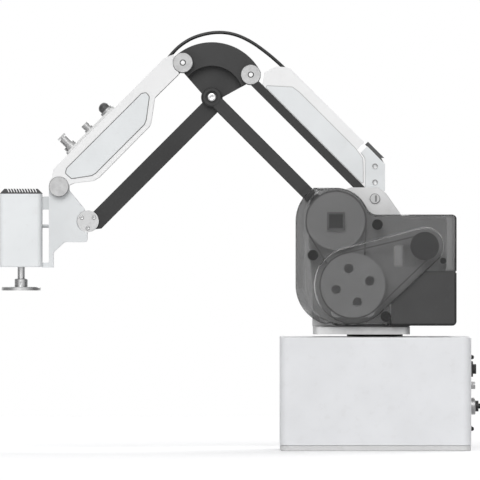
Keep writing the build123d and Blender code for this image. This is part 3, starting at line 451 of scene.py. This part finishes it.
def addBump(tree, shader, height, strength, depth):
    bump = tree.nodes.new("ShaderNodeBump")
    bump.inputs["Strength"].default_value = strength
    bump.inputs["Distance"].default_value = depth * mm
    tree.links.new(height, bump.inputs["Height"])
    tree.links.new(bump.outputs["Normal"], shader.inputs["Normal"])


def ringMark(centre, inner, outer, colour):
    # a round mark on a face that is seen from the side; radii in millimetres
    def mark(tree, below):
        vector = objectVector(tree, (centre[0], 0, centre[1]), (0, 0, 0))
        mask = useGroup(tree, roundGroup, vector, Inner=inner * mm, Outer=outer * mm)
        return mixedColour(tree, mask.outputs["Mask"], below, colour)
    return mark


def boxMark(centre, half, colour):
    # a square mark; centre and half sizes in millimetres
    def mark(tree, below):
        vector = objectVector(tree, centre, (0, 0, 0))
        mask = useGroup(tree, boxGroup, vector,
                        Half_X=half[0] * mm, Half_Y=half[1] * mm, Half_Z=half[2] * mm)
        return mixedColour(tree, mask.outputs["Mask"], below, colour)
    return mark


def coatedFinish(name, light, dark, rubbed, roughness, grainScale, bump, metallic=0.0,
                 specular=0.5, coat=0.0, cloudScale=28.0, rubAmount=0.35, gloss=0.08, marks=()):
    # paint, moulded plastic or an anodised skin: cloudy tone, fine grain, faint rub marks
    material, tree, shader = newMaterial(name)
    grain = useGroup(tree, grainGroup, objectVector(tree),
                     Grain_Scale=grainScale, Cloud_Scale=cloudScale)
    tone = mixedColour(tree, grain.outputs["Cloud"], light, dark)
    rub = mathNode(tree, "MULTIPLY", grain.outputs["Rub"], rubAmount)
    colour = mixedColour(tree, rub, tone, rubbed)
    for mark in marks:
        colour = mark(tree, colour)
    tree.links.new(colour, shader.inputs["Base Color"])
    rough = mathNode(tree, "MULTIPLY_ADD", grain.outputs["Cloud"], gloss)
    rough.node.inputs[2].default_value = roughness
    tree.links.new(rough, shader.inputs["Roughness"])
    shader.inputs["Metallic"].default_value = metallic
    shader.inputs["Specular IOR Level"].default_value = specular
    shader.inputs["Coat Weight"].default_value = coat
    shader.inputs["Coat Roughness"].default_value = 0.12
    addBump(tree, shader, grain.outputs["Grain"], bump, 0.05)
    return material


def turnedMetal(name, light, dark, roughness, centre, turn=(90, 0, 0), rings=2200.0, metallic=1.0,
                marks=()):
    # metal with lathe rings round its own axis
    material, tree, shader = newMaterial(name)
    ring = useGroup(tree, turnedGroup, objectVector(tree, centre, turn), Rings=rings)
    grain = useGroup(tree, grainGroup, objectVector(tree), Grain_Scale=1800.0, Cloud_Scale=120.0)
    tone = mixedColour(tree, ring.outputs["Ring"], light, dark)
    rub = mathNode(tree, "MULTIPLY", grain.outputs["Rub"], 0.25)
    colour = mixedColour(tree, rub, tone, dark)
    for mark in marks:
        colour = mark(tree, colour)
    tree.links.new(colour, shader.inputs["Base Color"])
    rough = mathNode(tree, "MULTIPLY_ADD", ring.outputs["Ring"], 0.18)
    rough.node.inputs[2].default_value = roughness - 0.09
    tree.links.new(rough, shader.inputs["Roughness"])
    shader.inputs["Metallic"].default_value = metallic
    addBump(tree, shader, ring.outputs["Ring"], 0.25, 0.04)
    return material


def brushedMetal(name, light, dark, roughness, turn, metallic=0.6, fineness=900.0, bump=0.12):
    # anodised or bare bar with fine scratches along its length
    material, tree, shader = newMaterial(name)
    scratch = useGroup(tree, brushedGroup, objectVector(tree, None, turn), Fineness=fineness)
    grain = useGroup(tree, grainGroup, objectVector(tree), Grain_Scale=2600.0, Cloud_Scale=24.0)
    tone = mixedColour(tree, grain.outputs["Cloud"], light, dark)
    streak = mathNode(tree, "MULTIPLY", scratch.outputs["Scratch"], 0.35)
    tree.links.new(mixedColour(tree, streak, tone, light), shader.inputs["Base Color"])
    rough = mathNode(tree, "MULTIPLY_ADD", scratch.outputs["Scratch"], 0.22)
    rough.node.inputs[2].default_value = roughness - 0.11
    tree.links.new(rough, shader.inputs["Roughness"])
    shader.inputs["Metallic"].default_value = metallic
    height = mathNode(tree, "ADD", scratch.outputs["Scratch"], grain.outputs["Grain"])
    addBump(tree, shader, height, bump, 0.03)
    return material


def smokedPlastic(name, tint, through, roughness):
    # clear smoked sheet: blurs and darkens what is behind it, and lets the lamps in
    material, tree, shader = newMaterial(name)
    grain = useGroup(tree, grainGroup, objectVector(tree), Grain_Scale=1500.0, Cloud_Scale=20.0)
    shade = tuple(c * 0.9 for c in tint)
    tree.links.new(mixedColour(tree, grain.outputs["Cloud"], tint, shade), shader.inputs["Base Color"])
    rough = mathNode(tree, "MULTIPLY_ADD", grain.outputs["Cloud"], 0.04)
    rough.node.inputs[2].default_value = roughness
    tree.links.new(rough, shader.inputs["Roughness"])
    shader.inputs["Transmission Weight"].default_value = 1.0
    shader.inputs["IOR"].default_value = 1.45
    addBump(tree, shader, grain.outputs["Grain"], 0.03, 0.03)
    clear = tree.nodes.new("ShaderNodeBsdfTransparent")
    clear.inputs["Color"].default_value = (*through, 1)
    path = tree.nodes.new("ShaderNodeLightPath")
    pick = mathNode(tree, "MAXIMUM", path.outputs["Is Shadow Ray"], path.outputs["Is Diffuse Ray"])
    mix = tree.nodes.new("ShaderNodeMixShader")
    tree.links.new(pick, mix.inputs[0])
    tree.links.new(shader.outputs["BSDF"], mix.inputs[1])
    tree.links.new(clear.outputs["BSDF"], mix.inputs[2])
    tree.links.new(mix.outputs["Shader"], tree.nodes["Material Output"].inputs["Surface"])
    return material


def grey(level, tint=(1.0, 1.0, 1.0)):
    # a grey given as the photograph's 0 to 255 tone
    value = level / 255
    linear = value / 12.92 if value <= 0.04045 else ((value + 0.055) / 1.055) ** 2.4
    return tuple(linear * t for t in tint)


cool = (0.975, 1.0, 1.01)
blueish = (0.99, 1.0, 1.02)
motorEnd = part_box("joint_motors")[1].y / mm - 9.0
finish = {
    "paintedBase": coatedFinish(
        "paintedBase", grey(230, blueish), grey(225, blueish), grey(215), roughness=0.42,
        grainScale=1400.0, bump=0.10, coat=0.15),
    "paintedBottom": coatedFinish(
        "paintedBottom", grey(214), grey(206), grey(190), roughness=0.5, grainScale=1400.0,
        bump=0.12),
    "mouldedWhite": coatedFinish(
        "mouldedWhite", grey(242), grey(238), grey(228), roughness=0.38, grainScale=2200.0,
        bump=0.07, coat=0.1),
    "panelWhite": coatedFinish(
        "panelWhite", grey(234, cool), grey(229, cool), grey(220), roughness=0.45,
        grainScale=2600.0, bump=0.10),
    "bracketWhite": coatedFinish(
        "bracketWhite", grey(227, cool), grey(221, cool), grey(220), roughness=0.42,
        grainScale=1800.0, bump=0.08),
    "headWhite": coatedFinish(
        "headWhite", grey(238, cool), grey(233, cool), grey(222), roughness=0.35,
        grainScale=2200.0, bump=0.06, coat=0.2),
    "sectorGrey": coatedFinish(
        "sectorGrey", grey(52), grey(46), grey(68), roughness=0.5, grainScale=1600.0, bump=0.14,
        metallic=0.2),
    "linkBlack": brushedMetal(
        "linkBlack", grey(50), grey(42), roughness=0.5, turn=(0, 45, 0), metallic=0.3),
    "forearmBlack": brushedMetal(
        "forearmBlack", grey(44), grey(37), roughness=0.5, turn=(0, -45, 0), metallic=0.3),
    "tieBlack": brushedMetal(
        "tieBlack", grey(44), grey(36), roughness=0.45, turn=(0, 45, 0), metallic=0.3),
    "castGrey": coatedFinish(
        "castGrey", grey(221), grey(213), grey(198), roughness=0.5, grainScale=1100.0, bump=0.20,
        metallic=0.15),
    "turntableGrey": coatedFinish(
        "turntableGrey", grey(218), grey(208), grey(176), roughness=0.42, grainScale=1500.0,
        bump=0.14, metallic=0.3),
    "ringBlack": coatedFinish(
        "ringBlack", grey(22), grey(16), grey(40), roughness=0.45, grainScale=1500.0, bump=0.15),
    "boxGrey": coatedFinish(
        "boxGrey", grey(48), grey(42), grey(60), roughness=0.42, grainScale=1900.0, bump=0.10),
    "smoke": smokedPlastic("smoke", tint=grey(178), through=grey(208), roughness=0.10),
    "pulleyLight": turnedMetal(
        "pulleyLight", grey(226), grey(208), roughness=0.5, centre=axle(shoulder), metallic=0.2,
        marks=[
            boxMark(axle(shoulder), (9.0, 99, 9.0), grey(150)),
            boxMark(axle(shoulder), (6.85, 99, 6.85), grey(60))
        ]),
    "pulleyReducer": turnedMetal(
        "pulleyReducer", grey(226), grey(208), roughness=0.5, centre=axle(link["reducer"]),
        metallic=0.2),
    "pulleyMotor": turnedMetal(
        "pulleyMotor", grey(70), grey(58), roughness=0.5, centre=axle(link["motor"]), metallic=0.4),
    "boltBlack": coatedFinish(
        "boltBlack", grey(38), grey(30), grey(60), roughness=0.42, grainScale=1500.0, bump=0.10,
        metallic=0.4),
    "beltGrey": coatedFinish(
        "beltGrey", grey(150), grey(136), grey(120), roughness=0.7, grainScale=900.0, bump=0.30),
    "beltRubber": coatedFinish(
        "beltRubber", grey(40), grey(32), grey(58), roughness=0.75, grainScale=900.0, bump=0.30),
    "motorBlack": coatedFinish(
        "motorBlack", grey(48), grey(40), grey(66), roughness=0.4, grainScale=1300.0, bump=0.15,
        metallic=0.3),
    "jointMotor": coatedFinish(
        "jointMotor", grey(200), grey(190), grey(170), roughness=0.4, grainScale=1300.0, bump=0.15,
        metallic=0.3,
        marks=[
            boxMark((0, 0, 200), (500, motorEnd, 200), grey(48))
        ]),
    "pinDisc": coatedFinish(
        "pinDisc", grey(196), grey(178), grey(160), roughness=0.42, grainScale=700.0, bump=0.22,
        metallic=0.35, cloudScale=150.0, rubAmount=0.5,
        marks=[ringMark(c, *r, grey(t))
               for c in (frontTieFoot, rearTieHead)
               for r, t in (((2.1, 3.1), 60), ((0, 2.1), 232))]),
    "plainPin": coatedFinish(
        "plainPin", grey(194), grey(180), grey(160), roughness=0.42, grainScale=700.0, bump=0.22,
        metallic=0.35, cloudScale=150.0, rubAmount=0.5),
    "slottedPin": coatedFinish(
        "slottedPin", grey(196), grey(184), grey(160), roughness=0.4, grainScale=900.0, bump=0.12,
        metallic=0.35,
        marks=[
            # painted shade: the dark bar is the shaded half of a slot across the pin's end, drawn
            # instead of a cut slot; the ring is a darker band round it
            boxMark((rearTieFoot[0] - 1.0, 0, rearTieFoot[1]), (1.0, 99, 3.2), grey(120)),
            ringMark(rearTieFoot, 4.5, 6.0, grey(130))
        ]),
    "capSteel": coatedFinish(
        "capSteel", grey(204), grey(194), grey(170), roughness=0.4, grainScale=900.0, bump=0.12,
        metallic=0.35, cloudScale=120.0),
    "bearingSteel": coatedFinish(
        "bearingSteel", grey(190), grey(172), grey(150), roughness=0.28, grainScale=900.0,
        bump=0.05, metallic=0.9),
    "flangeSteel": turnedMetal(
        "flangeSteel", grey(212), grey(182), roughness=0.30, centre=(toolX, 0, 0), turn=(0, 0, 0),
        rings=1500.0),
    "shaftSteel": brushedMetal(
        "shaftSteel", grey(222), grey(206), roughness=0.28, turn=(0, 0, 0), metallic=1.0),
    "nickel": coatedFinish(
        "nickel", grey(186), grey(168), grey(140), roughness=0.3, grainScale=1100.0, bump=0.08,
        metallic=0.8),
    "connectorBlack": coatedFinish(
        "connectorBlack", grey(44), grey(36), grey(62), roughness=0.5, grainScale=1500.0,
        bump=0.15),
    "couplerDark": coatedFinish(
        "couplerDark", grey(58), grey(48), grey(90), roughness=0.36, grainScale=1200.0, bump=0.10,
        metallic=0.6),
    "plateGrey": coatedFinish(
        "plateGrey", grey(206), grey(196), grey(180), roughness=0.4, grainScale=1500.0, bump=0.10,
        metallic=0.4),
    "buttonDark": coatedFinish(
        "buttonDark", grey(74), grey(64), grey(96), roughness=0.25, grainScale=1800.0, bump=0.04,
        coat=0.5),
    "ventDark": coatedFinish(
        "ventDark", grey(72), grey(64), grey(88), roughness=0.5, grainScale=1500.0, bump=0.12),
    "standoffGrey": coatedFinish(
        "standoffGrey", grey(204, cool), grey(196, cool), grey(180), roughness=0.4,
        grainScale=1500.0, bump=0.1, metallic=0.3),
    "stripDark": coatedFinish(
        "stripDark", grey(92), grey(82), grey(110), roughness=0.6, grainScale=1300.0, bump=0.2),
    "bracketGrey": coatedFinish(
        "bracketGrey", grey(228, cool), grey(222, cool), grey(208), roughness=0.42,
        grainScale=1800.0, bump=0.1, metallic=0.1),
    "seamGrey": coatedFinish(
        "seamGrey", grey(120), grey(108), grey(140), roughness=0.7, grainScale=1500.0, bump=0.1),
    "seamLight": coatedFinish(
        "seamLight", grey(196), grey(188), grey(200), roughness=0.7, grainScale=1500.0, bump=0.1),
    "cableBlack": coatedFinish(
        "cableBlack", grey(34), grey(28), grey(48), roughness=0.42, grainScale=1300.0, bump=0.12),
    "boardGreen": coatedFinish(
        "boardGreen", (0.02, 0.12, 0.05), (0.015, 0.09, 0.04), (0.1, 0.2, 0.12), roughness=0.4,
        grainScale=1500.0, bump=0.1, coat=0.3),
    "supplySteel": coatedFinish(
        "supplySteel", grey(180), grey(166), grey(140), roughness=0.38, grainScale=900.0, bump=0.1,
        metallic=0.8),
}

nodeFinish = {
    "base_housing": "paintedBase", "base_bottom_plate": "paintedBottom",
    "base_io_connector": "connectorBlack", "base_round_connectors": "nickel",
    "base_air_coupler": "couplerDark", "slew_bearing": "bearingSteel", "slew_motor": "motorBlack",
    "slew_belt": "beltRubber", "power_supply": "supplySteel", "control_board": "boardGreen",
    "slew_motor_pulley": "capSteel", "slew_column": "turntableGrey", "slew_ring": "ringBlack",
    "turntable_plate": "turntableGrey", "turret_frame": "castGrey", "turret_bearings": "bearingSteel",
    "left_drive_cover": "smoke", "right_drive_cover": "smoke", "belt_covers": "smoke",
    "turret_rear_box": "boxGrey", "turret_rear_cover": "smoke", "cover_posts": "boltBlack",
    "joint_motors": "jointMotor", "drive_belts": "beltGrey", "tie_foot_pins": "slottedPin",
    "shoulder_motor_pulley": "pulleyMotor", "elbow_motor_pulley": "pulleyMotor",
    "shoulder_reducer_pulley": "pulleyReducer", "elbow_reducer_pulley": "pulleyReducer",
    "elbow_drive_pulley": "pulleyLight", "shoulder_pulley": "pulleyLight",
    "left_rear_link": "linkBlack", "right_rear_link": "linkBlack", "rear_link_pins": "bearingSteel",
    "forearm_drive_belt": "beltRubber", "elbow_sector": "sectorGrey", "crank_pins": "pinDisc",
    "rear_tie_bars": "tieBlack", "rear_arm_cover": "mouldedWhite", "rear_cover_panels": "panelWhite",
    "rear_end_bracket": "bracketGrey", "rear_cover_strip": "stripDark", "forearm_link": "forearmBlack",
    "wrist_caps": "capSteel", "forearm_tie_bars": "tieBlack", "forearm_cover": "mouldedWhite",
    "forearm_cover_panels": "panelWhite", "connector_plate": "plateGrey", "air_connector": "nickel",
    "signal_connector": "nickel", "release_button": "buttonDark", "wrist_bracket": "bracketWhite",
    "wrist_tie_pin": "plainPin", "head_standoff": "standoffGrey", "head_housing": "headWhite",
    "head_vent_cap": "ventDark", "tool_motor": "motorBlack", "output_shaft": "shaftSteel",
    "tool_flange": "flangeSteel",
}


def dressNodes():
    for name, key in nodeFinish.items():
        node = nodes[name]
        node.data.materials.clear()
        node.data.materials.append(finish[key])
    for name in nodes:
        if name not in nodeFinish and name != "elbow_cable":
            print("no finish for", name)


dressNodes()
cableFront.data.materials.append(finish["cableBlack"])
cableRear.data.materials.append(finish["cableBlack"])
print("nodes dressed")


# Modelling helpers

def onlyThis(piece):
    bpy.ops.object.select_all(action="DESELECT")
    piece.select_set(True)
    bpy.context.view_layer.objects.active = piece


def applyPlace(piece):
    onlyThis(piece)
    bpy.ops.object.transform_apply(location=True, rotation=True, scale=True)


def turned(name, profile, segments=48):
    # a turned part: (radius, height) steps from its foot, in millimetres, along Z
    bpy.ops.object.select_all(action="DESELECT")
    radius, height = profile[0]
    bpy.ops.mesh.primitive_circle_add(vertices=segments, radius=radius * mm, fill_type="NGON",
                                      location=(0, 0, height * mm))
    piece = bpy.context.object
    piece.name = name
    applyPlace(piece)
    bpy.ops.object.mode_set(mode="EDIT")
    bpy.ops.mesh.select_all(action="SELECT")
    for nextRadius, nextHeight in profile[1:]:
        rise = (0, 0, (nextHeight - height) * mm)
        bpy.ops.mesh.extrude_region_move(TRANSFORM_OT_translate={"value": rise})
        factor = nextRadius / radius
        bpy.ops.transform.resize(value=(factor, factor, 1), center_override=(0, 0, nextHeight * mm))
        radius, height = nextRadius, nextHeight
    bpy.ops.mesh.select_all(action="SELECT")
    bpy.ops.mesh.remove_doubles(threshold=0.000001)
    bpy.ops.mesh.normals_make_consistent(inside=False)
    bpy.ops.object.mode_set(mode="OBJECT")
    return piece


def prism(name, sides, radius, low, high):
    # a straight bar with a few sides, used as a cutter for sockets
    bpy.ops.object.select_all(action="DESELECT")
    bpy.ops.mesh.primitive_cylinder_add(vertices=sides, radius=radius * mm, depth=(high - low) * mm,
                                        location=(0, 0, (low + high) / 2 * mm))
    piece = bpy.context.object
    piece.name = name
    applyPlace(piece)
    return piece


def cutAway(piece, cutter):
    onlyThis(piece)
    cut = piece.modifiers.new("cut", "BOOLEAN")
    cut.operation = "DIFFERENCE"
    cut.solver = "EXACT"
    cut.object = cutter
    bpy.ops.object.modifier_apply(modifier="cut")
    bpy.data.objects.remove(cutter)


def softenEdges(piece, width, steps=2, angle=35):
    onlyThis(piece)
    bevel = piece.modifiers.new("soften", "BEVEL")
    bevel.width = width * mm
    bevel.segments = steps
    bevel.limit_method = "ANGLE"
    bevel.angle_limit = math.radians(angle)
    bpy.ops.object.modifier_apply(modifier="soften")
    bpy.ops.object.shade_smooth_by_angle(angle=math.radians(35))


def copyTo(piece, name, place, turn=(0, 0, 0)):
    # a copy with its own mesh; its axis is Z before the turn
    copy = piece.copy()
    copy.data = piece.data.copy()
    copy.name = name
    bpy.context.scene.collection.objects.link(copy)
    copy.rotation_euler = tuple(math.radians(a) for a in turn)
    copy.location = tuple(c * mm for c in place)
    applyPlace(copy)
    return copy


def joinAs(name, pieces):
    bpy.ops.object.select_all(action="DESELECT")
    for piece in pieces:
        piece.select_set(True)
    bpy.context.view_layer.objects.active = pieces[0]
    bpy.ops.object.join()
    joined = bpy.context.object
    joined.name = name
    joined.data.name = name
    return joined


def settle(piece, key, body):
    piece.data.materials.clear()
    piece.data.materials.append(finish[key])
    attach(piece, body)
    return piece


left = (-90, 0, 0)       # the axis points toward +Y, the photograph's near side
right = (90, 0, 0)


def onBothSides(source, name, places, out):
    # copies of a fastener on both faces of the arm; places are (x, z)
    copies = []
    for x, z in places:
        copies.append(copyTo(source, name, (x, out, z), left))
        copies.append(copyTo(source, name, (x, -out, z), right))
    return joinAs(name, copies)


# Screws

def socketScrew(name, radius, height, key, depth=None):
    # a cap screw with a hexagon socket, its seat at z = 0
    piece = turned(name, [(radius * 0.96, 0), (radius, 0.12 * height),
                          (radius, 0.8 * height), (radius * 0.9, height)])
    cutAway(piece, prism("socket", 6, key, height - (depth or height * 0.6), height + 1))
    softenEdges(piece, 0.06 * radius)
    return piece


def domeScrew(name, radius, height, key):
    # a button head screw with a hexagon socket
    steps = [(radius, 0), (radius, 0.18 * height)]
    for i in range(1, 6):
        angle = math.radians(i * 14)
        rise = math.sin(angle) / math.sin(math.radians(70))
        steps.append((radius * math.cos(angle), height * (0.18 + 0.82 * rise)))
    piece = turned(name, steps, 40)
    cutAway(piece, prism("socket", 6, key, height * 0.45, height + 1))
    softenEdges(piece, 0.04 * radius, 1, 40)
    return piece


def flatScrew(name, radius, height, key):
    # a countersunk screw seen from above: a raised rim, a dished face and a socket
    piece = turned(name, [(radius, 0), (radius, height),
                          (radius * 0.92, height), (radius * 0.72, height * 0.45)], 40)
    cutAway(piece, prism("socket", 6, key, -0.2, height + 1))
    softenEdges(piece, 0.05 * radius, 1)
    return piece


baseScrews = {"radius": 2.25, "height": 3.3, "key": 1.2, "across": 60.0, "heights": (93.0, 21.7)}

screw = domeScrew("screwBase", baseScrews["radius"], baseScrews["height"], baseScrews["key"])
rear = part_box("base_housing")[0].x / mm
rearScrews = []
for side in (-1, 1):
    for z in baseScrews["heights"]:
        place = (rear, side * baseScrews["across"], z)
        rearScrews.append(copyTo(screw, "screw", place, (0, -90, 0)))
bpy.data.objects.remove(screw)
settle(joinAs("base_rear_screws", rearScrews), "boltBlack", "base")

bracketScrews = {"radius": 2.8, "height": 0.9, "key": 1.3, "out": 25.5,
                 "places": [(0.0, 283.3), (0.0, 267.2)]}

screw = flatScrew("screwBracket", bracketScrews["radius"], bracketScrews["height"], bracketScrews["key"])
settle(onBothSides(screw, "bracket_screws", bracketScrews["places"], bracketScrews["out"]),
       "nickel", "rear_tie")
bpy.data.objects.remove(screw)

capScrews = {"radius": 2.0, "height": 1.0, "key": 0.95, "out": 18.3,
             "circle": 7.0, "angles": (30, 150, 270)}

screw = socketScrew("screwCap", capScrews["radius"], capScrews["height"], capScrews["key"])
places = [along(wrist, capScrews["circle"], a) for a in capScrews["angles"]]
settle(onBothSides(screw, "wrist_cap_screws", places, capScrews["out"]), "nickel", "forearm")
bpy.data.objects.remove(screw)

pivotBolt = {"radius": 3.9, "height": 0.9, "key": 1.9, "depth": 0.7, "out": 24.2}

screw = socketScrew("screwPivot", pivotBolt["radius"], pivotBolt["height"], pivotBolt["key"],
                    pivotBolt["depth"])
settle(onBothSides(screw, "elbow_pivot_bolts", [elbow], pivotBolt["out"]), "shaftSteel", "rear_arm")
bpy.data.objects.remove(screw)
print("screws ready")


# Seams round the inset panels

seams = {"grow": 0.8, "top": 26.62, "foot": 26.1}


def panelSeam(nodeName, name, key, body):
    piece = nodes[nodeName].copy()
    piece.data = nodes[nodeName].data.copy()
    piece.parent = None
    for label in list(piece.keys()):
        del piece[label]
    piece.name = name
    bpy.context.scene.collection.objects.link(piece)
    onlyThis(piece)
    bpy.ops.object.mode_set(mode="EDIT")
    bpy.ops.mesh.select_all(action="SELECT")
    bpy.ops.mesh.remove_doubles(threshold=0.000001)
    bpy.ops.transform.shrink_fatten(value=seams["grow"] * mm, use_even_offset=True)
    bpy.ops.object.mode_set(mode="OBJECT")
    for vertex in piece.data.vertices:
        side = 1 if vertex.co.y > 0 else -1
        if abs(vertex.co.y) > seams["top"] * mm:
            vertex.co.y = side * seams["top"] * mm
        else:
            vertex.co.y = side * seams["foot"] * mm
    return settle(piece, key, body)


panelSeam("forearm_cover_panels", "forearm_panel_seams", "seamGrey", "forearm_tie")
panelSeam("rear_cover_panels", "rear_panel_seams", "seamLight", "rear_tie")
print("seams ready")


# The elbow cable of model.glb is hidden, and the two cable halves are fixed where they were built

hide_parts("elbow_cable")
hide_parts("elbow_cable")
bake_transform(cableRear)
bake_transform(cableFront)


def declareCable(piece):
    return piece


declareCable(cableFront)
declareCable(cableRear)
